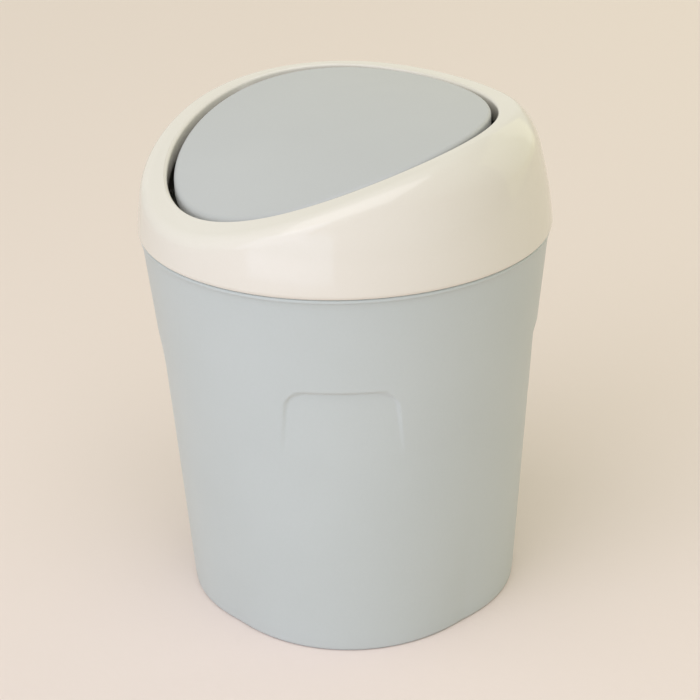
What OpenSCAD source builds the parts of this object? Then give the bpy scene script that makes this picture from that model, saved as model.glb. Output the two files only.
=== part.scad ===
// Small worktop bin with a swinging flap.
// A tapered bucket stands on z = 0. A domed lid ring drops into its mouth. Its slanted, gently
// arched opening holds a flap of the same arch, which tips on two short pins. A steel bar
// clipped under the flap brings it back level with the rim.
// Z is up, X runs along the pins, and the low end of the flap faces -Y.

/* [Bucket] */
// Height of the bucket, from the table to the seam under the lid
bucket_h = 154; // [120:1:200]
// Radius of the plain cone at the table
foot_r = 62.7; // [55:0.1:72]
// Radius of the plain cone at the seam
mouth_r = 78.7; // [72:0.1:90]
// Thickness of the bucket's wall
bucket_t = 1.8; // [1.2:0.1:3]
// Thickness of the bucket's floor
floor_t = 2.2; // [1.5:0.1:4]
// Rounding of the foot's outer edge
foot_round = 1.5; // [1:0.1:5]
// Rounding between wall and floor, inside
floor_round = 4; // [2:0.1:8]
// Depth of the hollow under the floor, inside the foot ring
foot_rise = 1.5; // [0.5:0.1:4]
// Width of the foot ring that stands on the table
foot_ring = 5; // [3:0.1:9]
// How far the rim bead stands proud of the wall
bead_out = 0.5; // [0.2:0.1:1.2]
// Height of the rim bead
bead_h = 1.6; // [1:0.1:4]
// Turn of the bucket under the lid, in degrees
bucket_turn = -36; // [-45:1:45]

/* [Grip panels] */
// Height of the panels' upper edge above the table
panel_top = 116; // [95:0.5:130]
// How far the panels stand out from the plain cone at the table
panel_out = 3.1; // [1:0.1:4]
// How deep the panels lie in the plain cone at their upper edge
panel_deep = 1.1; // [0.5:0.1:2.5]
// Half width of a panel at its upper edge
panel_half = 21; // [14:0.5:26]
// Rounding of the panels' upper corners
panel_corner = 8; // [2:0.5:10]
// How far each side of a panel leans outwards going down, in degrees
panel_lean = 4.5; // [0:0.5:8]
// Fullness of the bulge below each panel: 1 swells like a wave, less keeps its width
panel_full = 0.6; // [0.5:0.05:1]

/* [Lid] */
// How far the lid's lower edge stands out over the bucket's cone
lid_over = 1.3; // [0.8:0.1:3]
// Length of the lid's wall, up its gently curved section
lid_wall = 32; // [16:0.5:36]
// How far that wall leans inwards at the seam, in degrees
lid_lean = 4; // [1:0.5:10]
// Radius of the wall's own curve, up its section
wall_r = 160; // [120:1:400]
// Radius of the round shoulder above the wall
shoulder_r = 22; // [18:0.5:32]
// Rounding of the lid's lower edge, at most four fifths of its thickness
lid_edge = 1.6; // [0.8:0.1:2]
// Thickness of the lid
lid_t = 2; // [1.5:0.1:3]
// Radius of the long arch that cuts the dome
arch_r = 195; // [160:1:260]
// Height of the arch's crown above the seam
arch_h = 45.1; // [42:0.1:48]
// How far the crown lies behind the middle of the bin
arch_back = 27.8; // [15:0.1:35]
// Rounding where the arch meets the dome, at the low side
crease_low = 8; // [1:0.1:9]
// The same rounding at the high side, where the dome and the arch almost run level
crease_high = 5; // [1:0.1:6]
// Rounding of the opening's edge
lip_round = 1.3; // [0.4:0.1:1.5]
// Depth of the wall that hangs round the opening
lip_h = 7.8; // [7:0.1:12]
// Thickness of that wall
lip_t = 1.8; // [1.2:0.1:2.5]
// Depth of the collar that drops into the bucket's mouth
plug_h = 7; // [4:0.5:12]
// Thickness of that collar
plug_t = 1.6; // [1.2:0.1:2.5]
// Clearance between the collar and the bucket
plug_gap = 0.3; // [0.2:0.05:0.6]

/* [Flap] */
// Half width of the flap, along the pins
flap_half = 58.5; // [50:0.1:60]
// How much longer than wide the flap is, on each side of its middle
flap_stretch = 2.5; // [0:0.1:5]
// How far the flap's middle lies in front of the bin's middle
flap_front = 4.9; // [0:0.1:8]
// Gap between the flap and the wall round it
flap_gap = 2.5; // [1.8:0.1:3.2]
// How far the flap's middle lies below the lid's arch
flap_sunk = 1; // [0:0.1:1.5]
// How far the flap's low end hangs down at rest, in degrees
flap_tilt = 0.9; // [0:0.1:1.5]
// Thickness of the flap's plate
flap_t = 1.8; // [1.2:0.1:3]
// Rounding of the flap's upper edge
flap_round = 1.6; // [1:0.1:3]
// Depth of the flap's skirt, below its upper face
skirt_h = 5; // [4:0.1:6]
// Thickness of the skirt and the ribs
rib_t = 1.6; // [1.2:0.1:2.5]
// Depth of the ribs, below the flap's upper face
rib_h = 5.6; // [4.5:0.1:8]
// Distance of the long ribs and the clips from the flap's middle
rib_at = 20; // [12:0.5:35]

/* [Pins] */
// Diameter of the pins
pin_d = 4; // [3:0.1:4.6]
// Running clearance round a pin, in radius
pin_gap = 0.08; // [0.03:0.01:0.15]
// Depth of the pins' middle below the flap's upper face
pin_deep = 4.2; // [4:0.1:6]
// How far behind the flap's middle the pins lie
pin_back = 0; // [-3:0.05:4]
// Length of a pin inside its boss
pin_in = 3.2; // [2:0.1:4]
// Wall of the boss round a pin
boss_t = 1.5; // [1:0.1:2]
// Play between the flap's shoulder and the boss, at each end
shoulder_gap = 0.5; // [0.2:0.1:1]

/* [Balance bar] */
// Diameter of the bar
bar_d = 7; // [5:0.1:9]
// Length of the bar
bar_l = 64; // [50:1:80]
// Depth of the bar's middle below the flap's upper face
bar_deep = 11; // [9:0.1:14]
// Clearance round the bar in its clips
bar_gap = 0.05; // [0.02:0.01:0.15]
// Wall of a clip round the bar
clip_t = 1.8; // [1.2:0.1:3]
// Length of a clip along the bar
clip_l = 5; // [3:0.5:9]
// Share of the bar's diameter that the clip's mouth leaves open
clip_open = 0.86; // [0.7:0.01:0.95]

/* [Hidden] */

turns = 96;                    // steps round a moulded shape
quarter = 90;
sides = 4;                     // panels round the bucket
$fn = turns;
over = 0.5;                    // how far solids of one piece run into each other
seam_z = bucket_h;
lid_r = mouth_r + lid_over;
arch_z = seam_z + arch_h;
arch_axis_z = arch_z - arch_r;
// middles of the arcs in the dome's section, as [radius, height]
wall_c = [lid_r, seam_z] - wall_r * [cos(lid_lean), sin(lid_lean)];
lean_top = lid_lean + lid_wall * 180 / (PI * wall_r);
shoulder_c = wall_c + (wall_r - shoulder_r) * [cos(lean_top), sin(lean_top)];
foot_edge = min(lid_edge, lid_t * 0.8);
foot_z = seam_z + foot_edge;
foot_c = [wall_c[0] + sqrt(pow(wall_r - foot_edge, 2) - pow(foot_z - wall_c[1], 2)), foot_z];
foot_lean = atan2(foot_c[1] - wall_c[1], foot_c[0] - wall_c[0]);
foot_l = (foot_lean - lid_lean) * PI * wall_r / 180;
dome_len = lid_wall + (quarter - lean_top) * PI * shoulder_r / 180;
flap_y = -flap_front;
// middle of the flap's arch: the lid's, lowered, then turned about the flap's middle
flap_arch_r = arch_r - flap_sunk;
flap_mid = [flap_y, arch_axis_z + sqrt(pow(flap_arch_r, 2) - pow(flap_y - arch_back, 2))];
flap_arm = [arch_back, arch_axis_z] - flap_mid;
flap_c = flap_mid + [flap_arm[0] * cos(flap_tilt) - flap_arm[1] * sin(flap_tilt),
    flap_arm[0] * sin(flap_tilt) + flap_arm[1] * cos(flap_tilt)];
open_half = flap_half + flap_gap;
pin_y = flap_y + pin_back;
pin_z = flap_z(pin_y) - pin_deep;
bar_z = flap_z(pin_y) - bar_deep;
boss_d = pin_d + 2 * pin_gap + 2 * boss_t;
bore_d = pin_d + 2 * pin_gap;

// ---- heights and outlines that the pieces share ----

// Height of the lid's arch above a point at y
function arch(y) = arch_axis_z + sqrt(arch_r * arch_r - pow(y - arch_back, 2));
// Height of the flap's upper face above a point at y
function flap_z(y) = flap_c[1] + sqrt(pow(flap_arch_r, 2) - pow(y - flap_c[0], 2));
// Steepness of the arch, going outwards in direction a
function arch_slope(a, r) = -sin(a) * (r * sin(a) - arch_back)
    / sqrt(arch_r * arch_r - pow(r * sin(a) - arch_back, 2));
// Height of a sheet that lies d under the arch, in direction a and at radius r
function under_arch(a, r, d) = arch(r * sin(a)) - d * sqrt(1 + pow(arch_slope(a, r), 2));

// Plain cone of the bucket, and the cone of its panels
function cone_r(z) = foot_r + (mouth_r - foot_r) * z / bucket_h;
function panel_r(z) = foot_r + panel_out
    + (cone_r(panel_top) - panel_deep - foot_r - panel_out) * z / panel_top;
// Height at which the panels cross the plain cone, and at which their bulge has died out below it
panel_fade_z = panel_out / (panel_out + panel_deep) * panel_top;
bulge_top_z = panel_fade_z - 2;

// Share of the panels' bulge in direction a: four soft lobes round the bucket
function bulge(a) = pow(max(0, (1 + cos(sides * a)) / 2), panel_full);
function bucket_r(a, z) = cone_r(z) + panel_out * max(0, 1 - z / bulge_top_z) * bulge(a);

// Direction in which the dome faces, l along its section from the seam
function dome_face(l) = lid_lean + 180 / PI * (min(l, lid_wall) / wall_r + max(0, l - lid_wall) / shoulder_r);
// Point of the dome's section, at l along it and d under its surface, as [radius, height]
function dome(l, d) = let (e = dome_face(l))
    l < lid_wall
        ? wall_c + (wall_r - d) * [cos(e), sin(e)]
        : shoulder_c + (shoulder_r - d) * [cos(e), sin(e)];
// Rounding between dome and arch in direction a
function crease(a) = crease_low + (crease_high - crease_low) * (1 + sin(a)) / 2;
// Where the dome and the arch meet, both taken d under their surfaces, found by halving
function meet(a, d, lo = 0, hi = dome_len, n = 22) = n == 0 ? (lo + hi) / 2
    : let (mid = (lo + hi) / 2, p = dome(mid, d))
        p[1] > under_arch(a, p[0], d) ? meet(a, d, lo, mid, n - 1) : meet(a, d, mid, hi, n - 1);

// Radius of an ellipse round the flap's middle, seen from the bin's middle in direction a
function oval_r(a, half_x, half_y) = let (
        k = pow(cos(a) / half_x, 2) + pow(sin(a) / half_y, 2),
        m = sin(a) * flap_y / pow(half_y, 2),
        n = pow(flap_y / half_y, 2) - 1)
    (m + sqrt(m * m - k * n)) / k;

// Points of an arc round c, from angle e0 to e1 in n steps, without its first point
function arc(c, r, e0, e1, n) = [for (i = [1:n]) let (e = e0 + (e1 - e0) * i / n) c + r * [cos(e), sin(e)]];

// ---- lofts ----

// Closed tube through like rings of points, each ring joined to the next and the last to the first
module ring_loft(rings) {
    n = len(rings);
    m = len(rings[0]);
    polyhedron(
        points = [for (ring = rings) for (p = ring) p],
        faces = [for (i = [0:n - 1]) for (j = [0:m - 1]) let (
                a = i * m + j,
                b = i * m + (j + 1) % m,
                c = ((i + 1) % n) * m + (j + 1) % m,
                d = ((i + 1) % n) * m + j)
            each [[a, b, c], [a, c, d]]]);
}

// Solid between a stack of like level rings, closed by its first and last ring
module stack_loft(rings) {
    n = len(rings);
    m = len(rings[0]);
    polyhedron(
        points = [for (ring = rings) for (p = ring) p],
        faces = concat(
            [[for (j = [0:m - 1]) j]],
            [for (i = [0:n - 2]) for (j = [0:m - 1]) let (
                    a = i * m + j,
                    b = i * m + (j + 1) % m,
                    c = (i + 1) * m + (j + 1) % m,
                    d = (i + 1) * m + j)
                each [[a, c, b], [a, d, c]]],
            [[for (j = [m - 1:-1:0]) (n - 1) * m + j]]));
}

// ---- bucket ----

// Level ring with as many points as every other ring of the bucket
function round_ring(r, z) = [for (i = [0:turns - 1]) [r * cos(360 * i / turns), r * sin(360 * i / turns), z]];
// One level ring of the bucket, d inside its outer face
function bucket_ring(z, d, at_z) = [for (i = [0:turns - 1]) let (a = 360 * i / turns, r = bucket_r(a, z) - d)
    [r * cos(a), r * sin(a), at_z]];

// Outline of a panel as seen from outside, grown by g on its sides and top
module panel_outline(g) {
    half = panel_half + g;
    top = panel_top + g;
    corner = panel_corner + g;
    bottom = bulge_top_z / 2;
    low = half + (top - bottom) * tan(panel_lean);
    out = corner * cos(panel_lean);
    drop = corner * (1 - sin(panel_lean));
    polygon([[-low, bottom], [low, bottom], [half - corner + out, top - drop], [half - corner, top],
        [corner - half, top], [corner - half - out, top - drop]]);
    for (side = [-1, 1]) {
        translate([side * (half - corner), top - corner]) circle(r = corner, $fn = 48);
    }
}

// Space in front of one panel, from d inside the panel's face outwards
module panel_space(d) {
    difference() {
        rotate([quarter, 0, quarter]) linear_extrude(lid_r * 2) panel_outline(d);
        stack_loft([for (z = [0, panel_top + d + 1]) round_ring(panel_r(z) - d, z)]);
    }
}

// Outer form of the bucket, or the same form d inside it, from z = low up, with a rounded lower edge
module bucket_form(d, low, edge) {
    difference() {
        stack_loft(concat(
            [for (i = [0:3]) let (e = quarter * i / 3)
                bucket_ring(low, d + edge * (1 - sin(e)), low + edge * (1 - cos(e)))],
            [bucket_ring(bulge_top_z, d, bulge_top_z),
                bucket_ring(bucket_h, d, bucket_h + (d > 0 ? over : 0))]));
        for (side = [1:sides]) rotate([0, 0, 360 * side / sides]) panel_space(d);
    }
}

// Rounded bead round the rim
module rim_bead() {
    round_r = bead_h * 0.45;
    rotate_extrude() {
        translate([mouth_r - bucket_t + over, bucket_h - bead_h])
            square([bucket_t + bead_out - over - round_r, bead_h]);
        translate([mouth_r + bead_out - round_r * 2, bucket_h - bead_h + round_r])
            square([round_r * 2, bead_h - 2 * round_r]);
        for (z = [bucket_h - bead_h + round_r, bucket_h - round_r])
            translate([mouth_r + bead_out - round_r, z]) circle(r = round_r, $fn = 24);
    }
}

module bucket() {
    color("#b9c4c6")
    rotate([0, 0, bucket_turn])
    difference() {
        union() {
            bucket_form(0, 0, foot_round);
            rim_bead();
        }
        bucket_form(bucket_t, floor_t + foot_rise, floor_round);
        // hollow inside the foot ring
        translate([0, 0, -over]) cylinder(h = foot_rise + over, r = foot_r - foot_round - foot_ring);
    }
}

// ---- lid ring ----

// Section of the lid's shell in direction a, as a closed loop of [radius, height]
function lid_section(a) = let (
        r_turn = crease(a),
        l_out = meet(a, r_turn),
        c_out = dome(l_out, r_turn),
        l_in = meet(a, lid_t),
        c_in = dome(l_in, lid_t),
        e_top = quarter + atan(arch_slope(a, c_out[0])),
        r_lip = oval_r(a, open_half, open_half + flap_stretch),
        r_edge = r_lip + lip_round,
        c_edge = [r_edge, under_arch(a, r_edge, lip_round)],
        r_crease = c_out[0] + r_turn * cos(e_top),
        z_low = arch(r_lip * sin(a)) - lip_h,
        r_back = r_lip + lip_t)
    concat(
        [[lid_r - lid_t / cos(lid_lean), seam_z], [foot_c[0], seam_z]],
        arc(foot_c, foot_edge, -quarter, foot_lean, 3),
        [for (i = [1:9]) dome(foot_l + (l_out - foot_l) * i / 9, 0)],
        arc(c_out, r_turn, dome_face(l_out), e_top, 4),
        [for (i = [1:3]) let (r = r_crease + (r_edge - r_crease) * i / 3) [r, arch(r * sin(a))]],
        arc(c_edge, lip_round, quarter + atan(arch_slope(a, r_edge)), 2 * quarter, 3),
        [[r_lip, z_low], [r_back, z_low], [r_back, under_arch(a, r_back, lid_t)]],
        [for (i = [1:2]) let (r = r_back + (c_in[0] - r_back) * i / 2) [r, under_arch(a, r, lid_t)]],
        [for (i = [7:-1:1]) dome(l_in * i / 8, lid_t)]);

// Collar inside the bucket's mouth, with the ledge that joins it to the lid's wall
module plug_collar() {
    top_r = mouth_r - bucket_t - plug_gap;
    low_r = cone_r(bucket_h - plug_h) - bucket_t - plug_gap;
    rotate_extrude() polygon([
        [low_r - plug_t, seam_z - plug_h],
        [low_r - plug_t * 0.3, seam_z - plug_h],
        [low_r, seam_z - plug_h + plug_t * 0.7],
        [top_r, seam_z],
        [lid_r - lid_t - 0.2, seam_z],
        [lid_r - lid_t + over, seam_z + lid_t],
        [top_r - plug_t, seam_z + lid_t]]);
}

// Boss on the back of the opening's wall, one for each pin
module pin_boss() {
    translate([open_half, pin_y, pin_z]) rotate([0, quarter, 0])
        cylinder(h = pin_in + over, d = boss_d, $fn = 48);
}

module lid_ring() {
    color("#e9e2d2")
    difference() {
        union() {
            ring_loft([for (i = [0:turns - 1]) let (a = 360 * i / turns)
                [for (p = lid_section(a)) [p[0] * cos(a), p[0] * sin(a), p[1]]]]);
            plug_collar();
            for (side = [0, 1]) mirror([side, 0, 0]) pin_boss();
        }
        // bores for the pins
        for (side = [0, 1]) mirror([side, 0, 0])
            translate([open_half - 1, pin_y, pin_z]) rotate([0, quarter, 0])
                cylinder(h = pin_in + over + 2, d = bore_d, $fn = 48);
    }
}

// ---- flap ----

// One ring of the flap's skin, d inside its outline and h under its upper face
function flap_ring(d, h) = [for (i = [0:turns - 1]) let (
        a = 360 * i / turns,
        y = flap_y + (flap_half + flap_stretch - d) * sin(a))
    [(flap_half - d) * cos(a), y, flap_z(y) - h]];

// The dished skin of the flap: a plate with a rounded edge and a skirt
module flap_skin() {
    near = 2;                  // radius left open at the middle of the loft, then capped
    steps = [for (i = [1:5]) flap_half - near - (flap_half - near - flap_round) * i / 5];
    back = [for (i = [5:-1:1]) flap_half - near - (flap_half - near - rib_t) * i / 5];
    stack_loft(concat(
        [flap_ring(flap_half - near, flap_t)],
        [for (i = [4:-1:0]) flap_ring(back[i], flap_t)],
        [flap_ring(rib_t, skirt_h), flap_ring(rib_t * 0.3, skirt_h), flap_ring(0, skirt_h - rib_t * 0.3)],
        [for (i = [0:3]) let (e = quarter * i / 4)
            flap_ring(flap_round * (1 - cos(e)), flap_round * (1 - sin(e)))],
        [for (i = [4:-1:0]) flap_ring(steps[i], 0)],
        [flap_ring(flap_half - near, 0)]));
}

// Long rib under the flap, its foot drawn up towards both ends
module long_rib() {
    half = flap_half + flap_stretch - rib_at * rib_at / (2 * flap_half) - rib_t;
    ys = [for (i = [-8:8]) flap_y + half * i / 8];
    translate([-rib_t / 2, 0, 0]) rotate([quarter, 0, quarter]) linear_extrude(rib_t)
        polygon(concat(
            [for (y = ys) [y, flap_z(y) - flap_t / 2]],
            [for (i = [16:-1:0]) let (drop = (rib_h - skirt_h) * (1 - pow((i - 8) / 8, 2)))
                [ys[i], flap_z(ys[i]) - skirt_h - drop]]));
}

// Clip that holds the bar, open below
module bar_clip() {
    wide = bar_d + 2 * bar_gap + 2 * clip_t;
    up = flap_z(pin_y) - flap_t / 2 - bar_z;
    translate([-clip_l / 2, pin_y, bar_z]) difference() {
        union() {
            translate([0, -wide / 2, 0]) cube([clip_l, wide, up - over]);
            rotate([0, quarter, 0]) cylinder(h = clip_l, d = wide, $fn = 64);
        }
        translate([-1, 0, 0]) rotate([0, quarter, 0])
            cylinder(h = clip_l + 2, d = bar_d + 2 * bar_gap, $fn = 64);
        translate([-1, -bar_d * clip_open / 2, -wide]) cube([clip_l + 2, bar_d * clip_open, wide]);
    }
}

module flap() {
    color("#b3bdbd") {
        flap_skin();
        // spine rib between the pins
        translate([rib_t - flap_half, pin_y - rib_t / 2, flap_z(pin_y) - rib_h])
            cube([2 * (flap_half - rib_t), rib_t, rib_h - flap_t / 2]);
        for (side = [0, 1]) mirror([side, 0, 0]) {
            translate([rib_at, 0, 0]) long_rib();
            translate([rib_at, 0, 0]) bar_clip();
            // shoulder and pin
            translate([flap_half - rib_t - over, pin_y, pin_z]) rotate([0, quarter, 0]) {
                cylinder(h = rib_t + over + flap_gap - shoulder_gap, d = pin_d + 1.2, $fn = 48);
                cylinder(h = rib_t + over + flap_gap + pin_in, d = pin_d, $fn = 48);
            }
        }
    }
}

// ---- balance bar ----

module balance_bar() {
    edge = 0.5;
    color("#8d9092")
    translate([0, pin_y, bar_z]) rotate([0, quarter, 0])
        rotate_extrude() polygon([
            [0, -bar_l / 2],
            [bar_d / 2 - edge, -bar_l / 2],
            [bar_d / 2, edge - bar_l / 2],
            [bar_d / 2, bar_l / 2 - edge],
            [bar_d / 2 - edge, bar_l / 2],
            [0, bar_l / 2]]);
}

bucket();
lid_ring();
flap();
balance_bar();
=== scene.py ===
import math

import bmesh
import bpy
import numpy as np
from mathutils import Matrix, Vector

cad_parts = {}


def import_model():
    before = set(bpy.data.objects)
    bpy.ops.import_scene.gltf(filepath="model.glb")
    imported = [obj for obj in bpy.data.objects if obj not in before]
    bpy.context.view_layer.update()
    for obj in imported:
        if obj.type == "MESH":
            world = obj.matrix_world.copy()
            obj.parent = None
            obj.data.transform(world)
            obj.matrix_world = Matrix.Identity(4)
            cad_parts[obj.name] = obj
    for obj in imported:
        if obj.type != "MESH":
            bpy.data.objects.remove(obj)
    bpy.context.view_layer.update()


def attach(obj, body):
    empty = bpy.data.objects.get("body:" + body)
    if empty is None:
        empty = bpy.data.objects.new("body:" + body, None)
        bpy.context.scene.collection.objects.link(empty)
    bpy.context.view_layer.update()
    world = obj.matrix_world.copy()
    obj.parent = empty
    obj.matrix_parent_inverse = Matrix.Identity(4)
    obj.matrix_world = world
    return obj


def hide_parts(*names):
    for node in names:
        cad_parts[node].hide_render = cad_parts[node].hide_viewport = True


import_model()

# Sizes are in millimetres, as in the part's source. Meshes are scaled to metres when they are made.
MM = 0.001
RIGHT_ANGLE = math.pi / 2
FULL_TURN = 2 * math.pi
SHARP_FROM = math.radians(35)     # an edge bent more than this stays sharp
PLATE_SOFT = 0.3                  # bevel of ribs and clips
OVER = 0.5                        # how far the parts of one moulding run into each other

# bucket
BUCKET_H = 154.0                  # from the table to the seam under the lid
FOOT_R = 62.7
MOUTH_R = 78.7
BUCKET_T = 1.8
FLOOR_T = 2.2
FOOT_ROUND = 1.5
FLOOR_ROUND = 4.0
FOOT_RISE = 1.5                   # depth of the hollow inside the foot ring
FOOT_RING = 5.0
FOOT_CHAMFER = 0.3
BEAD_OUT = 0.5
BEAD_H = 1.6
BEAD_ROUND = BEAD_H * 0.45
MOUTH_ROUND = 0.5                 # rounding of the mouth's inner edge
BUCKET_TURN = math.radians(-36)   # turn of the bucket under the lid

# grip panels
PANEL_TOP = 116.0
PANEL_OUT = 3.1                   # how far they stand out at the table
PANEL_DEEP = 1.1                  # how deep they lie at their upper edge
PANEL_HALF = 21.0
PANEL_CORNER = 8.0
PANEL_LEAN = math.radians(4.5)
PANEL_FULL = 0.6                  # fullness of the lobe below each panel
PANEL_EDGE = 1.5                  # width of the soft step round a panel

# lid
LID_R = 79.99
LID_WALL = 32.0                   # length of the wall, up its gently curved section
LID_LEAN = math.radians(4)
WALL_R = 160.0
SHOULDER_R = 22.0
FOOT_EDGE = 1.6                   # rounding of the lid's lower edge
LID_T = 2.0
ARCH_R = 195.0                    # the long arch that cuts the dome
ARCH_AXIS_Z = 4.1
ARCH_BACK = 27.8
CREASE_LOW = 8.0                  # rounding between arch and dome, at the low side
CREASE_HIGH = 5.0                 # and at the high side
LIP_ROUND = 1.3
LIP_H = 7.8
LIP_T = 1.8
LIP_CHAMFER = 0.3
PLUG_H = 7.0                      # collar that drops into the bucket
PLUG_T = 1.6
PLUG_GAP = 0.3
PLUG_CHAMFER = 0.2

# flap
FLAP_HALF = 58.5
FLAP_STRETCH = 2.5                # how much longer than wide it is, to each side
FLAP_Y = -4.9
FLAP_GAP = 2.5
FLAP_SUNK = 1.0
FLAP_TILT = math.radians(0.9)
FLAP_T = 1.8
FLAP_ROUND = 1.6
SKIRT_H = 5.0
RIB_T = 1.6
RIB_H = 5.6
RIB_AT = 20.0

# pins and balance bar
PIN_R = 2.0
PIN_GAP = 0.08
PIN_DEEP = 4.2
PIN_IN = 3.2                      # length of a pin inside its boss
PIN_EDGE = 0.4
BOSS_T = 1.5
SHOULDER_OUT = 0.6                # how far a pin's shoulder stands out over it
SHOULDER_GAP = 0.5
BAR_R = 3.5
BAR_L = 64.0
BAR_DEEP = 11.0
BAR_GAP = 0.05
BAR_EDGE = 0.5
CLIP_T = 1.8
CLIP_L = 5.0
CLIP_OPEN = 0.86                  # share of the bar's width that a clip's mouth leaves open

OPEN_HALF = FLAP_HALF + FLAP_GAP
# middles of the arcs in the lid's section, as (radius, height)
WALL_C = (LID_R - WALL_R * math.cos(LID_LEAN), BUCKET_H - WALL_R * math.sin(LID_LEAN))
LEAN_TOP = LID_LEAN + LID_WALL / WALL_R
SHOULDER_C = (WALL_C[0] + (WALL_R - SHOULDER_R) * math.cos(LEAN_TOP),
              WALL_C[1] + (WALL_R - SHOULDER_R) * math.sin(LEAN_TOP))
FOOT_UP = BUCKET_H + FOOT_EDGE - WALL_C[1]
FOOT_C = (WALL_C[0] + math.sqrt((WALL_R - FOOT_EDGE) ** 2 - FOOT_UP ** 2), BUCKET_H + FOOT_EDGE)
FOOT_LEAN = math.atan2(FOOT_C[1] - WALL_C[1], FOOT_C[0] - WALL_C[0])


# ---- rules that the pieces share ----

def between(start, end, steps):
    """Even steps from start to end, without start itself."""
    return [start + (end - start) * i / steps for i in range(1, steps + 1)]


def arc(centre, radius, start, end, steps):
    """Points of an arc round a centre, without its first point."""
    return [(centre[0] + radius * np.cos(e), centre[1] + radius * np.sin(e))
            for e in between(start, end, steps)]


def arch(y):
    """Height of the long arch above y."""
    return ARCH_AXIS_Z + np.sqrt(ARCH_R ** 2 - (y - ARCH_BACK) ** 2)


def arch_slope(turn, radius):
    """Steepness of the arch going outwards in the direction turn."""
    y = radius * np.sin(turn) - ARCH_BACK
    return -np.sin(turn) * y / np.sqrt(ARCH_R ** 2 - y ** 2)


def under_arch(turn, radius, depth):
    """Height of a sheet that lies at a depth under the arch."""
    return arch(radius * np.sin(turn)) - depth * np.sqrt(1 + arch_slope(turn, radius) ** 2)


def cone_r(z):
    """Radius of the bucket's plain cone."""
    return FOOT_R + (MOUTH_R - FOOT_R) * z / BUCKET_H


def dome_face(length):
    """Direction in which the lid's dome faces, at a length along its section."""
    on_wall = np.minimum(length, LID_WALL)
    on_shoulder = np.maximum(0, length - LID_WALL)
    return LID_LEAN + on_wall / WALL_R + on_shoulder / SHOULDER_R


def dome(length, depth):
    """Radius and height of the dome's section, at a depth under its face."""
    face = dome_face(length)
    on_wall = length < LID_WALL
    radius = np.where(on_wall, WALL_R, SHOULDER_R) - depth
    return (np.where(on_wall, WALL_C[0], SHOULDER_C[0]) + radius * np.cos(face),
            np.where(on_wall, WALL_C[1], SHOULDER_C[1]) + radius * np.sin(face))


def crease(turn):
    """Rounding between dome and arch in the direction turn."""
    return CREASE_LOW + (CREASE_HIGH - CREASE_LOW) * (1 + np.sin(turn)) / 2


def meet(turn, depth):
    """Length along the dome's section at which the dome and the arch meet, found by halving."""
    low = np.zeros_like(turn)
    high = np.full_like(turn, LID_WALL + (RIGHT_ANGLE - LEAN_TOP) * SHOULDER_R)
    for _ in range(30):
        middle = (low + high) / 2
        radius, z = dome(middle, depth)
        above = z > under_arch(turn, radius, depth)
        high = np.where(above, middle, high)
        low = np.where(above, low, middle)
    return (low + high) / 2


def oval_r(turn, half_x, half_y):
    """Radius from the bin's middle of an oval round the flap's middle."""
    k = (np.cos(turn) / half_x) ** 2 + (np.sin(turn) / half_y) ** 2
    m = np.sin(turn) * FLAP_Y / half_y ** 2
    n = (FLAP_Y / half_y) ** 2 - 1
    return (m + np.sqrt(m * m - k * n)) / k


def flap_arch():
    """Radius and middle (y, z) of the flap's arch: the lid's, lowered and turned about the flap's middle."""
    radius = ARCH_R - FLAP_SUNK
    mid_z = ARCH_AXIS_Z + math.sqrt(radius ** 2 - (FLAP_Y - ARCH_BACK) ** 2)
    y, z = ARCH_BACK - FLAP_Y, ARCH_AXIS_Z - mid_z
    cos, sin = math.cos(FLAP_TILT), math.sin(FLAP_TILT)
    return radius, FLAP_Y + y * cos - z * sin, mid_z + y * sin + z * cos


FLAP_ARCH_R, FLAP_C_Y, FLAP_C_Z = flap_arch()


def flap_z(y):
    """Height of the flap's upper face above y."""
    return FLAP_C_Z + math.sqrt(FLAP_ARCH_R ** 2 - (y - FLAP_C_Y) ** 2)


PIN_Y = FLAP_Y
PIN_Z = flap_z(PIN_Y) - PIN_DEEP
BAR_Z = flap_z(PIN_Y) - BAR_DEEP


# ---- meshes ----

def finish_mesh(name, build, material):
    """Object from a bmesh in metres, with doubles merged and faces outwards."""
    bmesh.ops.remove_doubles(build, verts=build.verts, dist=2e-6)
    bmesh.ops.dissolve_degenerate(build, edges=build.edges, dist=1e-7)
    bmesh.ops.recalc_face_normals(build, faces=build.faces)
    mesh = bpy.data.meshes.new(name)
    build.to_mesh(mesh)
    build.free()
    mesh.shade_smooth()
    mesh.set_sharp_from_angle(angle=SHARP_FROM)
    mesh.materials.append(material)
    return placed(name, mesh)


def placed(name, mesh):
    """Object of a mesh, in the scene."""
    piece = bpy.data.objects.new(name, mesh)
    bpy.context.scene.collection.objects.link(piece)
    return piece


def grid_mesh(rings, closed, values=None):
    """Bmesh through rings of points in millimetres, joined round each ring and, if closed, end to end.

    values gives each ring a number for each named attribute of its points.
    """
    values = values or {}
    build = bmesh.new()
    layers = [build.verts.layers.float.new(key) for key in values]
    rows = []
    for i, ring in enumerate(rings):
        row = [build.verts.new([c * MM for c in point]) for point in ring]
        for layer, column in zip(layers, values.values()):
            for vert in row:
                vert[layer] = column[i]
        rows.append(row)
    ends = len(rows) if closed else len(rows) - 1
    around = len(rows[0])
    for i in range(ends):
        one, two = rows[i], rows[(i + 1) % len(rows)]
        for j in range(around):
            k = (j + 1) % around
            build.faces.new((one[j], one[k], two[k], two[j]))
    return build


def turned(name, section, material, centre_z, steps, closed=False):
    """Piece turned about the pins' line or the bar's, at centre_z, from (radius, x) points."""
    turns = [FULL_TURN * i / steps for i in range(steps)]
    rings = [[(x, radius * math.cos(turn) + PIN_Y, radius * math.sin(turn) + centre_z) for turn in turns]
             for radius, x in section]
    return finish_mesh(name, grid_mesh(rings, closed), material)


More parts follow.
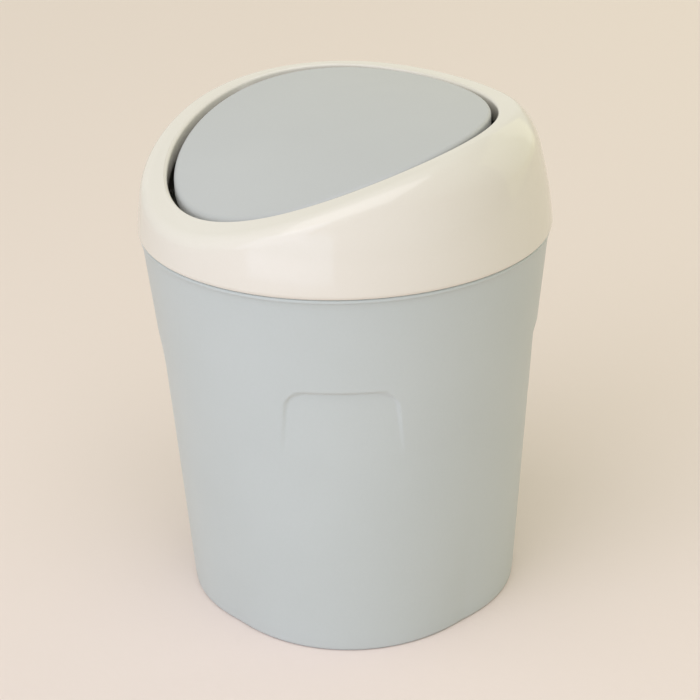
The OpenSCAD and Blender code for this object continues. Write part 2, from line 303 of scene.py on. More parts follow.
def slab(name, outline, along, thick, material):
    """Plate from an outline of (y, z) points, square to X at the place along, with soft edges."""
    build = bmesh.new()
    verts = [build.verts.new(((along - thick / 2) * MM, y * MM, z * MM)) for y, z in outline]
    face = build.faces.new(verts)
    moved = bmesh.ops.extrude_face_region(build, geom=[face])["geom"]
    bmesh.ops.translate(build, verts=[v for v in moved if isinstance(v, bmesh.types.BMVert)],
                        vec=(thick * MM, 0, 0))
    piece = finish_mesh(name, build, material)
    bevel = piece.modifiers.new("soften", "BEVEL")
    bevel.width = PLATE_SOFT * MM
    bevel.segments = 2
    bevel.limit_method = "ANGLE"
    bevel.angle_limit = math.radians(50)
    return settle(piece)


def settle(piece):
    """Turns a piece's modifiers into plain mesh."""
    bpy.context.view_layer.update()
    seen = piece.evaluated_get(bpy.context.evaluated_depsgraph_get())
    mesh = bpy.data.meshes.new_from_object(seen)
    old = piece.data
    piece.modifiers.clear()
    piece.data = mesh
    mesh.name = old.name
    bpy.data.meshes.remove(old)
    return piece


def mirrored(piece, name):
    """Copy of a piece on the other side of the bin's middle."""
    mesh = piece.data.copy()
    mesh.transform(Matrix.Diagonal((-1, 1, 1, 1)))
    mesh.flip_normals()
    return placed(name, mesh)


def join(name, pieces):
    """One piece out of several of one body and material."""
    build = bmesh.new()
    for piece in pieces:
        build.from_mesh(piece.data)
    mesh = bpy.data.meshes.new(name)
    build.to_mesh(mesh)
    build.free()
    mesh.materials.append(pieces[0].data.materials[0])
    for piece in pieces:
        old = piece.data
        bpy.data.objects.remove(piece)
        bpy.data.meshes.remove(old)
    return placed(name, mesh)


# ---- geometry node trees ----

class Value:
    """A number in a node tree, which can be reckoned with."""

    def __init__(self, tree, socket):
        self.tree = tree
        self.socket = socket

    def step(self, operation, *others):
        """Value of a Math node with this number first."""
        node = self.tree.nodes.new("ShaderNodeMath")
        node.operation = operation
        for slot, other in zip(node.inputs, (self, *others)):
            if isinstance(other, Value):
                self.tree.links.new(other.socket, slot)
            else:
                slot.default_value = other
        return Value(self.tree, node.outputs[0])

    def __add__(self, other):
        return self.step("ADD", other)

    def __sub__(self, other):
        return self.step("SUBTRACT", other)

    def __mul__(self, other):
        return self.step("MULTIPLY", other)

    def __truediv__(self, other):
        return self.step("DIVIDE", other)

    def at_most(self, other):
        return self.step("MINIMUM", other)

    def at_least(self, other):
        return self.step("MAXIMUM", other)

    def squared(self):
        return self * self

    def root(self):
        return self.step("SQRT")

    def eased(self):
        """Soft step from 0 to 1."""
        x = self.at_least(0.0).at_most(1.0)
        return x * x * ((x * -2.0) + 3.0)


def new_tree(name, inputs):
    """Geometry node tree with named sizes in metres or radians, and a material."""
    tree = bpy.data.node_groups.new(name, "GeometryNodeTree")
    face = tree.interface
    face.new_socket("Geometry", in_out="INPUT", socket_type="NodeSocketGeometry")
    for key, start in inputs.items():
        face.new_socket(key, in_out="INPUT", socket_type="NodeSocketFloat").default_value = start
    face.new_socket("Material", in_out="INPUT", socket_type="NodeSocketMaterial")
    face.new_socket("Geometry", in_out="OUTPUT", socket_type="NodeSocketGeometry")
    entry = tree.nodes.new("NodeGroupInput")
    values = {key: Value(tree, entry.outputs[key]) for key in inputs}
    return tree, entry, values


def place_parts(tree):
    """X, Y and Z of each point."""
    place = tree.nodes.new("GeometryNodeInputPosition")
    parts = tree.nodes.new("ShaderNodeSeparateXYZ")
    tree.links.new(place.outputs[0], parts.inputs[0])
    return [Value(tree, socket) for socket in parts.outputs]


def stored(tree, name):
    """Number that each point holds under a name."""
    node = tree.nodes.new("GeometryNodeInputNamedAttribute")
    node.data_type = "FLOAT"
    node.inputs["Name"].default_value = name
    return Value(tree, node.outputs["Attribute"])


def end_tree(tree, entry, x, y, z):
    """Moves the points to x, y, z, and ends the tree with plain meshes and the material."""
    gather = tree.nodes.new("ShaderNodeCombineXYZ")
    for value, slot in zip((x, y, z), gather.inputs):
        tree.links.new(value.socket, slot)
    move = tree.nodes.new("GeometryNodeSetPosition")
    real = tree.nodes.new("GeometryNodeRealizeInstances")
    paint = tree.nodes.new("GeometryNodeSetMaterial")
    leave = tree.nodes.new("NodeGroupOutput")
    tree.links.new(entry.outputs["Geometry"], move.inputs["Geometry"])
    tree.links.new(gather.outputs[0], move.inputs["Position"])
    tree.links.new(move.outputs[0], real.inputs[0])
    tree.links.new(real.outputs[0], paint.inputs["Geometry"])
    tree.links.new(entry.outputs["Material"], paint.inputs["Material"])
    tree.links.new(paint.outputs[0], leave.inputs[0])
    return tree


def run_tree(piece, tree, sizes, material):
    """Runs a tree on a piece with its sizes set, and keeps the plain mesh that it gives."""
    sockets = [item for item in tree.interface.items_tree if item.in_out == "INPUT"]
    names = {item.name: item.identifier for item in sockets}
    modifier = piece.modifiers.new(tree.name, "NODES")
    modifier.node_group = tree
    for key, value in sizes.items():
        modifier[names[key]] = value
    modifier[names["Material"]] = material
    return settle(piece)


def arch_tree():
    """Bends a flat form over the long arch: each point's height is added to the arch's."""
    sizes = {"Arch radius": 0.195, "Axis height": 0.004, "Crown back": 0.028}
    tree, entry, size = new_tree("bend over arch", sizes)
    x, y, z = place_parts(tree)
    rise = (size["Arch radius"].squared() - (y - size["Crown back"]).squared()).root()
    return end_tree(tree, entry, x, y, z + size["Axis height"] + rise)


def panel_share(size, across, z, depth):
    """Share of a grip panel's depth at each point: one inside its outline, easing to nothing at its edge."""
    lean = size["Lean"]
    widened = (size["Panel top"] - z) * lean.step("TANGENT")
    side = (across - size["Half width"] - widened) * lean.step("COSINE")
    reach_x = side - depth + size["Corner"]
    reach_z = z - size["Panel top"] - depth + size["Corner"]
    outside = (reach_x.at_least(0.0).squared() + reach_z.at_least(0.0).squared()).root()
    away = outside + reach_x.at_least(reach_z).at_most(0.0) - size["Corner"]
    return (away * -1.0 / size["Edge width"]).eased()


def bucket_tree():
    """Swells a round bucket into four soft lobes below and sinks four grip panels into it above."""
    sizes = {"Turn": 0.0, "Swell": 0.003, "Sink": 0.001, "Panel top": 0.115, "Half width": 0.02,
             "Corner": 0.005, "Lean": 0.08, "Edge width": 0.002, "Fullness": 0.6}
    lobe_end = 2 * MM             # the lobes die out this far below the panels' crossing
    tree, entry, size = new_tree("lobes and panels", sizes)
    x, y, z = place_parts(tree)
    radius = (x.squared() + y.squared()).root()
    turn = y.step("ARCTAN2", x) - size["Turn"]
    off = (turn - (turn / RIGHT_ANGLE).step("ROUND") * RIGHT_ANGLE).step("ABSOLUTE")
    # the panels' plane crosses the plain cone at this height: lobes lie below it, sunk panels above
    cross_z = size["Panel top"] * size["Swell"] / (size["Swell"] + size["Sink"])
    lobe = ((off * 4.0).step("COSINE") * 0.5 + 0.5).at_least(0.0).step("POWER", size["Fullness"])
    swell = (z * -1.0 / (cross_z - lobe_end) + 1.0).at_least(0.0) * size["Swell"] * lobe
    share = panel_share(size, radius * off.step("SINE"), z, stored(tree, "depth"))
    sink = (z / cross_z - 1.0).at_least(0.0) * size["Swell"] * share
    grown = radius + (swell - sink) * stored(tree, "follow")
    scale = grown / radius.at_least(1e-6)
    return end_tree(tree, entry, x * scale, y * scale, z)


# ---- shader node groups ----

def add(tree, kind, **settings):
    """Node with its settings and, by socket name or number, its plain inputs."""
    node = tree.nodes.new(kind)
    for key, value in settings.pop("inputs", {}).items():
        node.inputs[key].default_value = value
    for key, value in settings.items():
        setattr(node, key, value)
    return node


def new_group(name, inputs, outputs):
    """Shader node group: inputs map a name to a socket kind and its start value, outputs to a kind."""
    group = bpy.data.node_groups.new(name, "ShaderNodeTree")
    for key, (kind, start) in inputs.items():
        socket = group.interface.new_socket(key, in_out="INPUT", socket_type="NodeSocket" + kind)
        if start is not None:
            socket.default_value = start
    for key, kind in outputs.items():
        group.interface.new_socket(key, in_out="OUTPUT", socket_type="NodeSocket" + kind)
    return group, group.nodes.new("NodeGroupInput"), group.nodes.new("NodeGroupOutput")


def tint_group():
    """Faint uneven colour of moulded plastic: slow clouds and a fine grain, from Vector."""
    group, enter, leave = new_group(
        "plastic tint",
        {"Vector": ("Vector", None), "Main": ("Color", (1, 1, 1, 1)), "Deep": ("Color", (0.9, 0.9, 0.9, 1)),
         "Cloud scale": ("Float", 14.0), "Grain scale": ("Float", 900.0)},
        {"Color": "Color"})
    link = group.links.new
    cloud = add(group, "ShaderNodeTexNoise", inputs={"Detail": 3.0, "Roughness": 0.45})
    grain = add(group, "ShaderNodeTexNoise", inputs={"Detail": 2.0, "Roughness": 0.6})
    grain_weight = 0.3
    both = add(group, "ShaderNodeMath", operation="MULTIPLY_ADD", inputs={1: grain_weight})
    spread = add(group, "ShaderNodeMapRange", inputs={"From Min": 0.4, "From Max": 0.9})
    blend = add(group, "ShaderNodeMix", data_type="RGBA")
    link(enter.outputs["Vector"], cloud.inputs["Vector"])
    link(enter.outputs["Vector"], grain.inputs["Vector"])
    link(enter.outputs["Cloud scale"], cloud.inputs["Scale"])
    link(enter.outputs["Grain scale"], grain.inputs["Scale"])
    link(grain.outputs["Fac"], both.inputs[0])
    link(cloud.outputs["Fac"], both.inputs[2])
    link(both.outputs[0], spread.inputs["Value"])
    link(spread.outputs["Result"], blend.inputs["Factor"])
    link(enter.outputs["Main"], blend.inputs["A"])
    link(enter.outputs["Deep"], blend.inputs["B"])
    link(blend.outputs["Result"], leave.inputs["Color"])
    return group


def skin_group():
    """Height of a moulded surface: slow flow ripples under a fine spark grain."""
    group, enter, leave = new_group(
        "moulded skin",
        {"Vector": ("Vector", None), "Ripple scale": ("Float", 45.0), "Grain scale": ("Float", 1500.0),
         "Grain share": ("Float", 0.2)},
        {"Height": "Float"})
    link = group.links.new
    ripple = add(group, "ShaderNodeTexNoise", inputs={"Detail": 1.0, "Roughness": 0.3})
    grain = add(group, "ShaderNodeTexNoise", inputs={"Detail": 3.0, "Roughness": 0.55})
    mixed = add(group, "ShaderNodeMix", data_type="FLOAT")
    link(enter.outputs["Vector"], ripple.inputs["Vector"])
    link(enter.outputs["Vector"], grain.inputs["Vector"])
    link(enter.outputs["Ripple scale"], ripple.inputs["Scale"])
    link(enter.outputs["Grain scale"], grain.inputs["Scale"])
    link(enter.outputs["Grain share"], mixed.inputs["Factor"])
    link(ripple.outputs["Fac"], mixed.inputs["A"])
    link(grain.outputs["Fac"], mixed.inputs["B"])
    link(mixed.outputs["Result"], leave.inputs["Height"])
    return group


def handling_group():
    """Masks of handling, from nothing to one: smudges from hands, and hairline scuffs."""
    group, enter, leave = new_group(
        "handling",
        {"Vector": ("Vector", None), "Smudge scale": ("Float", 22.0), "Scuff scale": ("Float", 160.0)},
        {"Smudge": "Float", "Scuff": "Float"})
    link = group.links.new
    smudge = add(group, "ShaderNodeTexNoise", inputs={"Detail": 4.0, "Roughness": 0.6, "Distortion": 0.6})
    soft = add(group, "ShaderNodeMapRange", inputs={"From Min": 0.42, "From Max": 0.72})
    stretch = add(group, "ShaderNodeMapping",
                  inputs={"Rotation": (0.4, 0.9, 0.3), "Scale": (1.0, 14.0, 14.0)})
    scuff = add(group, "ShaderNodeTexNoise", inputs={"Detail": 2.0, "Roughness": 0.5})
    hair = add(group, "ShaderNodeMapRange", inputs={"From Min": 0.68, "From Max": 0.78})
    link(enter.outputs["Vector"], smudge.inputs["Vector"])
    link(enter.outputs["Smudge scale"], smudge.inputs["Scale"])
    link(smudge.outputs["Fac"], soft.inputs["Value"])
    link(enter.outputs["Vector"], stretch.inputs["Vector"])
    link(stretch.outputs["Vector"], scuff.inputs["Vector"])
    link(enter.outputs["Scuff scale"], scuff.inputs["Scale"])
    link(scuff.outputs["Fac"], hair.inputs["Value"])
    link(soft.outputs["Result"], leave.inputs["Smudge"])
    link(hair.outputs["Result"], leave.inputs["Scuff"])
    return group


# ---- materials ----

def new_material(name):
    """Material with its node tree and its shader."""
    material = bpy.data.materials.new(name)
    material.use_nodes = True
    return material, material.node_tree, material.node_tree.nodes["Principled BSDF"]


def plastic(name, groups, main, deep, rough, worn_rough, ripple, grain_share, relief_mm, specular=0.5):
    """Moulded plastic from the three groups, with its own values."""
    material, tree, shader = new_material(name)
    link = tree.links.new
    place = add(tree, "ShaderNodeTexCoord")
    tint, skin, handling = [add(tree, "ShaderNodeGroup", node_tree=group) for group in groups]
    for node in (tint, skin, handling):
        link(place.outputs["Object"], node.inputs["Vector"])
    tint.inputs["Main"].default_value = (*main, 1)
    tint.inputs["Deep"].default_value = (*deep, 1)
    skin.inputs["Ripple scale"].default_value = ripple
    skin.inputs["Grain share"].default_value = grain_share
    link(tint.outputs["Color"], shader.inputs["Base Color"])
    smudge_weight = 0.6           # smudges wear the gloss less than scuffs do
    faint = add(tree, "ShaderNodeMath", operation="MULTIPLY", inputs={1: smudge_weight})
    worn = add(tree, "ShaderNodeMath", operation="MAXIMUM")
    rough_range = add(tree, "ShaderNodeMapRange", inputs={"To Min": rough, "To Max": worn_rough})
    link(handling.outputs["Smudge"], faint.inputs[0])
    link(faint.outputs[0], worn.inputs[0])
    link(handling.outputs["Scuff"], worn.inputs[1])
    link(worn.outputs[0], rough_range.inputs["Value"])
    link(rough_range.outputs["Result"], shader.inputs["Roughness"])
    relief = add(tree, "ShaderNodeBump", inputs={"Strength": 1.0, "Distance": relief_mm * MM})
    link(skin.outputs["Height"], relief.inputs["Height"])
    link(relief.outputs["Normal"], shader.inputs["Normal"])
    shader.inputs["Specular IOR Level"].default_value = specular
    return material


def drawn_steel(name, skin_tree):
    """Bright drawn bar: fine lines along it and a little tarnish."""
    material, tree, shader = new_material(name)
    link = tree.links.new
    place = add(tree, "ShaderNodeTexCoord")
    stretch = add(tree, "ShaderNodeMapping", inputs={"Scale": (0.04, 1.0, 1.0)})
    skin = add(tree, "ShaderNodeGroup", node_tree=skin_tree)
    skin.inputs["Ripple scale"].default_value = 500.0
    skin.inputs["Grain share"].default_value = 0.6
    tarnish = add(tree, "ShaderNodeTexNoise", inputs={"Scale": 90.0, "Detail": 4.0})
    colour = add(tree, "ShaderNodeMix", data_type="RGBA")
    colour.inputs["A"].default_value = (0.58, 0.58, 0.57, 1)
    colour.inputs["B"].default_value = (0.42, 0.4, 0.37, 1)
    rough_range = add(tree, "ShaderNodeMapRange", inputs={"To Min": 0.22, "To Max": 0.45})
    relief = add(tree, "ShaderNodeBump", inputs={"Strength": 0.6, "Distance": 0.04 * MM})
    link(place.outputs["Object"], stretch.inputs["Vector"])
    link(stretch.outputs["Vector"], skin.inputs["Vector"])
    link(place.outputs["Object"], tarnish.inputs["Vector"])
    link(tarnish.outputs["Fac"], colour.inputs["Factor"])
    link(tarnish.outputs["Fac"], rough_range.inputs["Value"])
    link(colour.outputs["Result"], shader.inputs["Base Color"])
    link(rough_range.outputs["Result"], shader.inputs["Roughness"])
    link(skin.outputs["Height"], relief.inputs["Height"])
    link(relief.outputs["Normal"], shader.inputs["Normal"])
    shader.inputs["Metallic"].default_value = 1.0
    return material


# ---- bucket ----

def bucket_turns():
    """Directions round the bucket, closer together where the panels' sides run."""
    side_from, side_to = 13.5, 24.0
    half = np.array([0.0] + between(0.0, side_from, 9) + between(side_from, side_to, 27)
                    + between(side_to, 45.0, 14))
    side = np.concatenate([-half[::-1][:-1], half])[:-1]
    return np.radians(np.concatenate([side + 90 * quarter for quarter in range(4)])) + BUCKET_TURN


def bucket_section():
    """Rows of (radius, height, depth under the outer face, share of lobes and panels), outside first."""
    hollow_r = FOOT_R - FOOT_ROUND - FOOT_RING
    crossing, edge_low, edge_high = 76, 110, 118     # rows are closest round the panels' upper edge
    # underside, foot ring and the foot's rounding
    rows = [(r, FOOT_RISE, 0, 0) for r in (0, 12, 26, 40, hollow_r - 2, hollow_r)]
    rows += [(hollow_r, FOOT_CHAMFER, 0, 0), (hollow_r + FOOT_CHAMFER, 0, 0, 0)]
    rows += [(FOOT_R - FOOT_ROUND * (1 - math.sin(e)), FOOT_ROUND * (1 - math.cos(e)), 0, 1)
             for e in np.linspace(0, RIGHT_ANGLE, 7)]
    # outer wall, and the bead with its two roundings
    bead_z = BUCKET_H - BEAD_H
    bead_r = MOUTH_R + BEAD_OUT - BEAD_ROUND
    heights = (between(FOOT_ROUND, crossing, 31) + between(crossing, edge_low, 19)
               + between(edge_low, edge_high, 25) + between(edge_high, bead_z - 0.1, 13))
    rows += [(cone_r(z), z, 0, 1) for z in heights]
    for centre_z, start, end in ((bead_z + BEAD_ROUND, -83, 0), (BUCKET_H - BEAD_ROUND, 0, 90)):
        rows += [(bead_r + BEAD_ROUND * math.cos(e), centre_z + BEAD_ROUND * math.sin(e), 0, 0)
                 for e in np.radians(np.linspace(start, end, 6))]
    mouth_in = MOUTH_R - BUCKET_T
    cut = MOUTH_ROUND * 0.3
    rows += [(mouth_in + MOUTH_ROUND, BUCKET_H, 0, 0), (mouth_in + cut, BUCKET_H - cut, 0, 0)]
    # inner wall, its rounding into the floor, and the floor
    floor_z = FLOOR_T + FOOT_RISE
    top_z, edge_low, edge_high = BUCKET_H - MOUTH_ROUND, 112, 120
    heights = ([top_z] + between(top_z, edge_high, 5) + between(edge_high, edge_low, 19)
               + between(edge_low, crossing, 7) + between(crossing, floor_z + FLOOR_ROUND, 9))
    rows += [(cone_r(z) - BUCKET_T, z, BUCKET_T, 1) for z in heights]
    for e in between(RIGHT_ANGLE, 0, 5):
        z = floor_z + FLOOR_ROUND * (1 - math.cos(e))
        rows.append((cone_r(z) - BUCKET_T - FLOOR_ROUND * (1 - math.sin(e)), z, BUCKET_T, 1))
    rows += [(r, floor_z, BUCKET_T, 0) for r in (50, 36, 22, 10, 0)]
    return rows


def bucket_shell(material):
    """Bucket with its wall, floor and bead, shaped by the node tree."""
    rows = bucket_section()
    turns = bucket_turns()
    rings = [[(r * math.cos(a), r * math.sin(a), z) for a in turns] for r, z, _, _ in rows]
    values = {"depth": [row[2] * MM for row in rows], "follow": [float(row[3]) for row in rows]}
    piece = finish_mesh("bucket_shell", grid_mesh(rings, False, values), material)
    sizes = {"Turn": BUCKET_TURN, "Swell": PANEL_OUT * MM, "Sink": PANEL_DEEP * MM,
             "Panel top": PANEL_TOP * MM, "Half width": PANEL_HALF * MM, "Corner": PANEL_CORNER * MM,
             "Lean": PANEL_LEAN, "Edge width": PANEL_EDGE * MM, "Fullness": PANEL_FULL}
    return run_tree(piece, bucket_tree(), sizes, material)


# ---- lid ----

def lid_sections(turn):
    """The lid's section in each direction of turn, as a loop of (radius, height) rows."""
    def level(radius, z):
        return radius + 0 * turn, z + 0 * turn

    round_r = crease(turn)
    length_out = meet(turn, round_r)
    length_in = meet(turn, LID_T)
    round_c = dome(length_out, round_r)
    in_r, _ = dome(length_in, LID_T)
    round_face = RIGHT_ANGLE + np.arctan(arch_slope(turn, round_c[0]))
    crease_r = round_c[0] + round_r * np.cos(round_face)
    lip_r = oval_r(turn, OPEN_HALF, OPEN_HALF + FLAP_STRETCH)
    lip_z = arch(lip_r * np.sin(turn)) - LIP_H
    edge_r = lip_r + LIP_ROUND
    edge_z = under_arch(turn, edge_r, LIP_ROUND)
    edge_face = RIGHT_ANGLE + np.arctan(arch_slope(turn, edge_r))
    back_r = lip_r + LIP_T
    back_z = under_arch(turn, back_r, LID_T)

    # collar that drops into the bucket, then the lid's foot
    plug_z = BUCKET_H - PLUG_H
    plug_top = MOUTH_R - BUCKET_T - PLUG_GAP
    plug_low = cone_r(plug_z) - BUCKET_T - PLUG_GAP
    rows = [level(plug_top - PLUG_T, BUCKET_H + LID_T), level(plug_low - PLUG_T, plug_z + PLUG_CHAMFER),
            level(plug_low - PLUG_T + PLUG_CHAMFER, plug_z), level(plug_low - 0.3 * PLUG_T, plug_z),
            level(plug_low, plug_z + 0.7 * PLUG_T), level(plug_top, BUCKET_H), level(FOOT_C[0], BUCKET_H)]
    rows += arc(level(*FOOT_C), FOOT_EDGE, -RIGHT_ANGLE, FOOT_LEAN, 8)
    # dome, crease and the level band
    foot_length = (FOOT_LEAN - LID_LEAN) * WALL_R
    rows += [dome(length, 0) for length in between(foot_length, length_out, 34)]
    rows += arc(round_c, round_r, dome_face(length_out), round_face, 9)
    rows += [(radius, arch(radius * np.sin(turn))) for radius in between(crease_r, edge_r, 8)]
    # edge of the opening and the wall that hangs round it
    rows += arc((edge_r, edge_z), LIP_ROUND, edge_face, 2 * RIGHT_ANGLE, 7)
    rows += [(lip_r, z) for z in between(edge_z, lip_z + LIP_CHAMFER, 3)]
    rows += [(lip_r + LIP_CHAMFER, lip_z), (back_r - LIP_CHAMFER, lip_z), (back_r, lip_z + LIP_CHAMFER),
             (back_r, back_z)]
    # underside of the band and the dome's inner face, down to the collar
    rows += [(radius, under_arch(turn, radius, LID_T)) for radius in between(back_r, in_r, 3)]
    ledge_lean = math.asin((BUCKET_H + LID_T - WALL_C[1]) / (WALL_R - LID_T))
    ledge_length = (ledge_lean - LID_LEAN) * WALL_R
    rows += [dome(length, LID_T) for length in between(length_in, ledge_length, 16)]
    return rows


def lid_dome(material):
    """Lid ring of one closed loft, with a bore for each pin."""
    turns = np.linspace(0, FULL_TURN, 384, endpoint=False)
    rings = [np.column_stack([r * np.cos(turns), r * np.sin(turns), z]) for r, z in lid_sections(turns)]
    piece = finish_mesh("lid_dome", grid_mesh(rings, True), material)
    bore, start, end = PIN_R + PIN_GAP, OPEN_HALF - 1, OPEN_HALF + 5
    drill = turned("drill", [(0, start), (bore, start), (bore, end), (0, end)], material, PIN_Z, 48)
    for cutter in (mirrored(drill, "other drill"), drill):
        cut = piece.modifiers.new("bore", "BOOLEAN")
        cut.operation = "DIFFERENCE"
        cut.object = cutter
        settle(piece)
        bpy.data.objects.remove(cutter)
    piece.data.set_sharp_from_angle(angle=SHARP_FROM)
    return piece


def pin_bosses(material):
    """Bored bosses for the pins, on the back of the wall round the opening."""
    bore = PIN_R + PIN_GAP
    outer = bore + BOSS_T
    start = OPEN_HALF + LIP_T / 2
    end = OPEN_HALF + PIN_IN + OVER
    section = [(bore, start), (bore, end - 0.2), (bore + 0.2, end),
               (outer - 0.3, end), (outer, end - 0.3), (outer, start)]
    boss = turned("boss", section, material, PIN_Z, 48, closed=True)
    return join("lid_pin_bosses", [boss, mirrored(boss, "other boss")])


# ---- flap ----

def flap_skin(material):
    """Flat dish with a rounded edge and a skirt, bent over the arch by the node tree."""
    under_shares = (0.0, 0.04, 0.2, 0.4, 0.6, 0.8, 0.93)
    top_shares = (0.93, 0.87, 0.8, 0.72, 0.64, 0.56, 0.48, 0.4, 0.32, 0.24, 0.16, 0.08, 0.0)
    # rows of (share of the outline, distance inside it, depth under the upper face), underside first
    rows = [(share, FLAP_ROUND, FLAP_T) for share in under_shares]
    # hollow corner, then the skirt's inside, foot and outside
    rows += [(1, RIB_T + 0.6, FLAP_T), (1, RIB_T + 0.1, FLAP_T + 0.5), (1, RIB_T, SKIRT_H - 0.2),
             (1, RIB_T - 0.2, SKIRT_H), (1, 0.4, SKIRT_H), (1, 0.1, SKIRT_H - 0.15),
             (1, 0, SKIRT_H - 0.5), (1, 0, SKIRT_H - 1.5)]
    rows += [(1, FLAP_ROUND * (1 - math.cos(e)), FLAP_ROUND * (1 - math.sin(e)))
             for e in np.linspace(0, RIGHT_ANGLE, 11)]
    rows += [(share, FLAP_ROUND, 0.0) for share in top_shares]
    turns = np.linspace(0, FULL_TURN, 320, endpoint=False)
    rings = []
    for share, inside, depth in rows:
        half_x = share * (FLAP_HALF - inside)
        half_y = share * (FLAP_HALF + FLAP_STRETCH - inside)
        rings.append(np.column_stack([half_x * np.cos(turns), FLAP_Y + half_y * np.sin(turns),
                                      np.full_like(turns, -depth)]))
    piece = finish_mesh("flap_skin", grid_mesh(rings, False), material)
    sizes = {"Arch radius": FLAP_ARCH_R * MM, "Axis height": FLAP_C_Z * MM, "Crown back": FLAP_C_Y * MM}
    return run_tree(piece, arch_tree(), sizes, material)


def long_rib(along, material):
    """Rib from the low end to the high end, its foot drawn up towards both."""
    half = FLAP_HALF + FLAP_STRETCH - RIB_AT ** 2 / (2 * FLAP_HALF) - RIB_T
    ys = [FLAP_Y + half * i / 12 for i in range(-12, 13)]
    top = [(y, flap_z(y) - FLAP_T / 2) for y in ys]
    foot = [(y, flap_z(y) - SKIRT_H - (RIB_H - SKIRT_H) * (1 - ((y - FLAP_Y) / half) ** 2))
            for y in reversed(ys)]
    return slab("rib", top + foot, along, RIB_T, material)


def spine_rib(material):
    """Rib from pin to pin."""
    z = flap_z(PIN_Y)
    left, right = PIN_Y - RIB_T / 2, PIN_Y + RIB_T / 2
    low, high = z - RIB_H, z - FLAP_T / 2
    outline = [(left, low), (right, low), (right, high), (left, high)]
    return slab("spine", outline, 0, 2 * (FLAP_HALF - RIB_T), material)


def bar_clip(along, material):
    """Clip of one bent outline, open below, its top let into the flap's curved underside."""
    inner = BAR_R + BAR_GAP
    outer = inner + CLIP_T
    mouth = BAR_R * CLIP_OPEN
    outer_end = math.acos(mouth / outer)
    inner_end = math.acos(mouth / inner)
    rear, front = [(y, flap_z(PIN_Y + y) - FLAP_T / 2 - BAR_Z) for y in (outer, -outer)]
    points = [front]
    points += [(-outer * math.cos(e), -outer * math.sin(e)) for e in np.linspace(0, outer_end, 9)]
    points += [(-inner * math.cos(e), -inner * math.sin(e))
               for e in np.linspace(inner_end, -math.pi - inner_end, 33)]
    points += [(outer * math.cos(e), -outer * math.sin(e)) for e in np.linspace(outer_end, 0, 9)]
    points += [rear]
    return slab("clip", [(PIN_Y + y, BAR_Z + z) for y, z in points], along, CLIP_L, material)


def flap_frame(material):
    """Ribs, bar clips and pins under the flap, as one moulding with its skin."""
    shoulder = PIN_R + SHOULDER_OUT
    start = FLAP_HALF - RIB_T - OVER
    step = FLAP_HALF + FLAP_GAP - SHOULDER_GAP
    tip = FLAP_HALF + FLAP_GAP + PIN_IN
    section = [(0, start), (shoulder, start), (shoulder, step - 0.2), (shoulder - 0.2, step), (PIN_R, step),
               (PIN_R, tip - PIN_EDGE), (PIN_R - 0.15, tip - 0.1), (PIN_R - PIN_EDGE, tip), (0, tip)]
    pin = turned("pin", section, material, PIN_Z, 48)
    parts = [pin, mirrored(pin, "other pin"), spine_rib(material)]
    for side in (-1, 1):
        parts += [long_rib(side * RIB_AT, material), bar_clip(side * RIB_AT, material)]
    return join("flap_frame", parts)


def steel_bar(material):
    """Balance bar with rounded ends."""
    end = BAR_L / 2
    half = [(0, end), (BAR_R - BAR_EDGE, end), (BAR_R - 0.12, end - 0.15), (BAR_R, end - BAR_EDGE)]
    section = [(radius, -x) for radius, x in half] + [(BAR_R, 0)] + half[::-1]
    return turned("steel_bar", section, material, BAR_Z, 72)


# ---- studio, in metres ----

VIEW_AZIMUTH = 56.5               # of the photograph's camera, in degrees
FOCAL_SHARE = 1990 / 700          # focal length in widths of the picture
SENSOR_W = 36.0
# lamps: name, azimuth from the view, distance and height, height looked at, width and height, watts, colour
LAMPS = (
    ("key", -42, 2.1, 0.95, 0.11, (1.8, 1.5), 11.9, (0.67, 0.73, 1.0)),
    ("overhead", -12, 1.2, 2.35, 0.11, (3.4, 2.6), 40.0, (0.98, 0.93, 0.97)),
    ("low fill", -29, 0.9, 0.12, 0.12, (0.74, 0.24), 0.7, (0.6, 0.75, 1.0)),
    ("rear", 180, 1.3, 0.5, 0.11, (2.4, 1.0), 2.1, (1.0, 0.95, 0.9)),
    ("warm side", 125, 1.2, 0.5, 0.11, (1.2, 1.0), 1.7, (1.0, 0.98, 0.55)),
)


def around(azimuth, distance, height):
    """Place at an azimuth in degrees, at a distance from the bin's axis."""
    a = math.radians(azimuth)
    return math.sin(a) * distance, -math.cos(a) * distance, height


def lights():
    """Soft area lamps round the bin, which the camera doesn't see."""
    for name, azimuth, distance, height, target_z, size, power, colour in LAMPS:
        data = bpy.data.lights.new(name, "AREA")
        data.shape = "RECTANGLE"
        data.size, data.size_y = size
        data.energy = power
        data.color = colour
        lamp = placed(name, data)
        lamp.location = around(VIEW_AZIMUTH + azimuth, distance, height)
        ahead = Vector((0, 0, target_z)) - lamp.location
        lamp.rotation_euler = ahead.to_track_quat("-Z", "Y").to_euler()
        lamp.visible_camera = False


def camera():
    """Camera as fitted to the photograph: place, pitch, slight yaw and roll, and focal length."""
    data = bpy.data.cameras.new("camera")
    data.sensor_width = SENSOR_W
    data.lens = SENSOR_W * FOCAL_SHARE
    pitch, yaw, roll = math.radians(24.67), math.radians(0.05), math.radians(-1.53)
    ahead = Vector((math.sin(yaw) * math.cos(pitch), math.cos(yaw) * math.cos(pitch), -math.sin(pitch)))
    side = ahead.cross(Vector((0, 0, 1))).normalized()
    up = side.cross(ahead)
    right = math.cos(roll) * side + math.sin(roll) * up
    upright = -math.sin(roll) * side + math.cos(roll) * up
    turn = Matrix((right, upright, -ahead)).transposed().to_4x4()
    place = Matrix.Translation((0, -0.72, 0.4294))
    eye = placed("camera", data)
    eye.matrix_world = Matrix.Rotation(math.radians(VIEW_AZIMUTH), 4, "Z") @ place @ turn
    bpy.context.scene.camera = eye


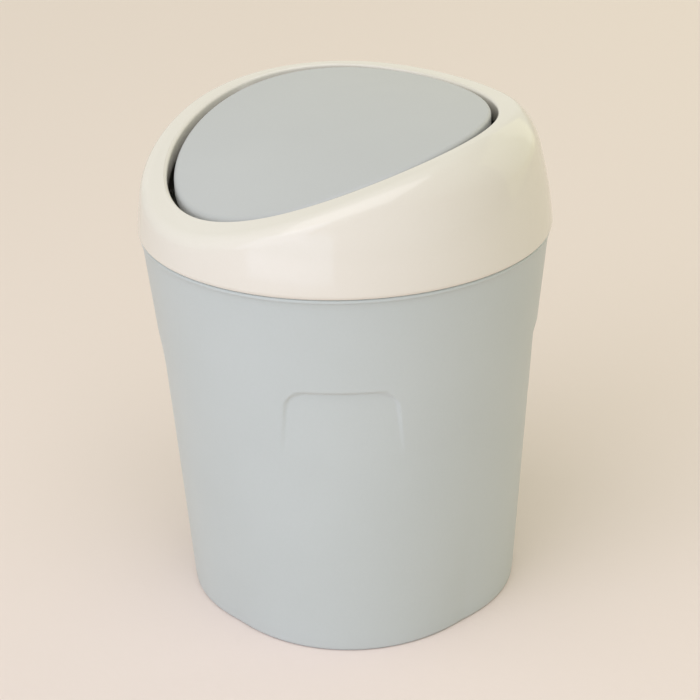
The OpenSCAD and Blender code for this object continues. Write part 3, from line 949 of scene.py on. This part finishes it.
def floor():
    """Wide pale floor, with the faintest grain."""
    material, tree, shader = new_material("pale floor")
    place = add(tree, "ShaderNodeTexCoord")
    grain = add(tree, "ShaderNodeTexNoise", inputs={"Scale": 260.0, "Detail": 3.0})
    relief = add(tree, "ShaderNodeBump", inputs={"Strength": 0.25, "Distance": 0.3 * MM})
    tree.links.new(place.outputs["Object"], grain.inputs["Vector"])
    tree.links.new(grain.outputs["Fac"], relief.inputs["Height"])
    tree.links.new(relief.outputs["Normal"], shader.inputs["Normal"])
    shader.inputs["Base Color"].default_value = (0.884, 0.772, 0.735, 1)
    shader.inputs["Roughness"].default_value = 0.85
    shader.inputs["Specular IOR Level"].default_value = 0.2
    half = 6.0
    corners = [(-half, -half, 0), (half, -half, 0), (half, half, 0), (-half, half, 0)]
    mesh = bpy.data.meshes.new("floor")
    mesh.from_pydata(corners, [], [(0, 1, 2, 3)])
    mesh.materials.append(material)
    plane = placed("floor", mesh)


def world():
    """Even pale light all round, and a pale background where it is seen, mirrored or looked through to."""
    sky = bpy.data.worlds.new("world")
    bpy.context.scene.world = sky
    sky.use_nodes = True
    tree = sky.node_tree
    tree.nodes.clear()
    link = tree.links.new
    light = add(tree, "ShaderNodeBackground", inputs={"Color": (0.95, 0.99, 0.76, 1), "Strength": 0.49})
    seen = add(tree, "ShaderNodeBackground", inputs={"Color": (0.66, 0.64, 0.55, 1), "Strength": 1.0})
    path = add(tree, "ShaderNodeLightPath")
    shown = path.outputs["Is Camera Ray"]
    for ray in ("Is Glossy Ray", "Is Transmission Ray"):
        either = add(tree, "ShaderNodeMath", operation="MAXIMUM")
        link(shown, either.inputs[0])
        link(path.outputs[ray], either.inputs[1])
        shown = either.outputs[0]
    mix = add(tree, "ShaderNodeMixShader")
    leave = add(tree, "ShaderNodeOutputWorld")
    link(shown, mix.inputs[0])
    link(light.outputs[0], mix.inputs[1])
    link(seen.outputs[0], mix.inputs[2])
    link(mix.outputs[0], leave.inputs["Surface"])


# ---- the bin ----

camera()
world()
lights()
floor()

tools = (tint_group(), skin_group(), handling_group())
bucket_plastic = plastic("bucket plastic", tools, main=(0.577, 0.62, 0.632), deep=(0.543, 0.586, 0.594),
                         rough=0.36, worn_rough=0.46, ripple=30.0, grain_share=0.25, relief_mm=0.08,
                         specular=0.32)
flap_plastic = plastic("flap plastic", tools, main=(0.554, 0.566, 0.58), deep=(0.525, 0.536, 0.55),
                       rough=0.4, worn_rough=0.5, ripple=30.0, grain_share=0.4, relief_mm=0.06)
lid_plastic = plastic("lid plastic", tools, main=(0.808, 0.768, 0.712), deep=(0.783, 0.739, 0.678),
                      rough=0.09, worn_rough=0.2, ripple=26.0, grain_share=0.03, relief_mm=0.12)
bar_steel = drawn_steel("bar steel", tools[1])

bucket = bucket_shell(bucket_plastic)
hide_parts("bucket")
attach(bucket, "bin")

lid = lid_dome(lid_plastic)
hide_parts("lid_ring")
bosses = pin_bosses(lid_plastic)
for piece in (lid, bosses):
    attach(piece, "lid")

skin = flap_skin(flap_plastic)
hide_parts("flap")
under = flap_frame(flap_plastic)
for piece in (skin, under):
    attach(piece, "swing_flap")

bar = steel_bar(bar_steel)
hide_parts("balance_bar")
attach(bar, "swing_flap")

view = bpy.context.scene.view_settings
view.view_transform = "Standard"
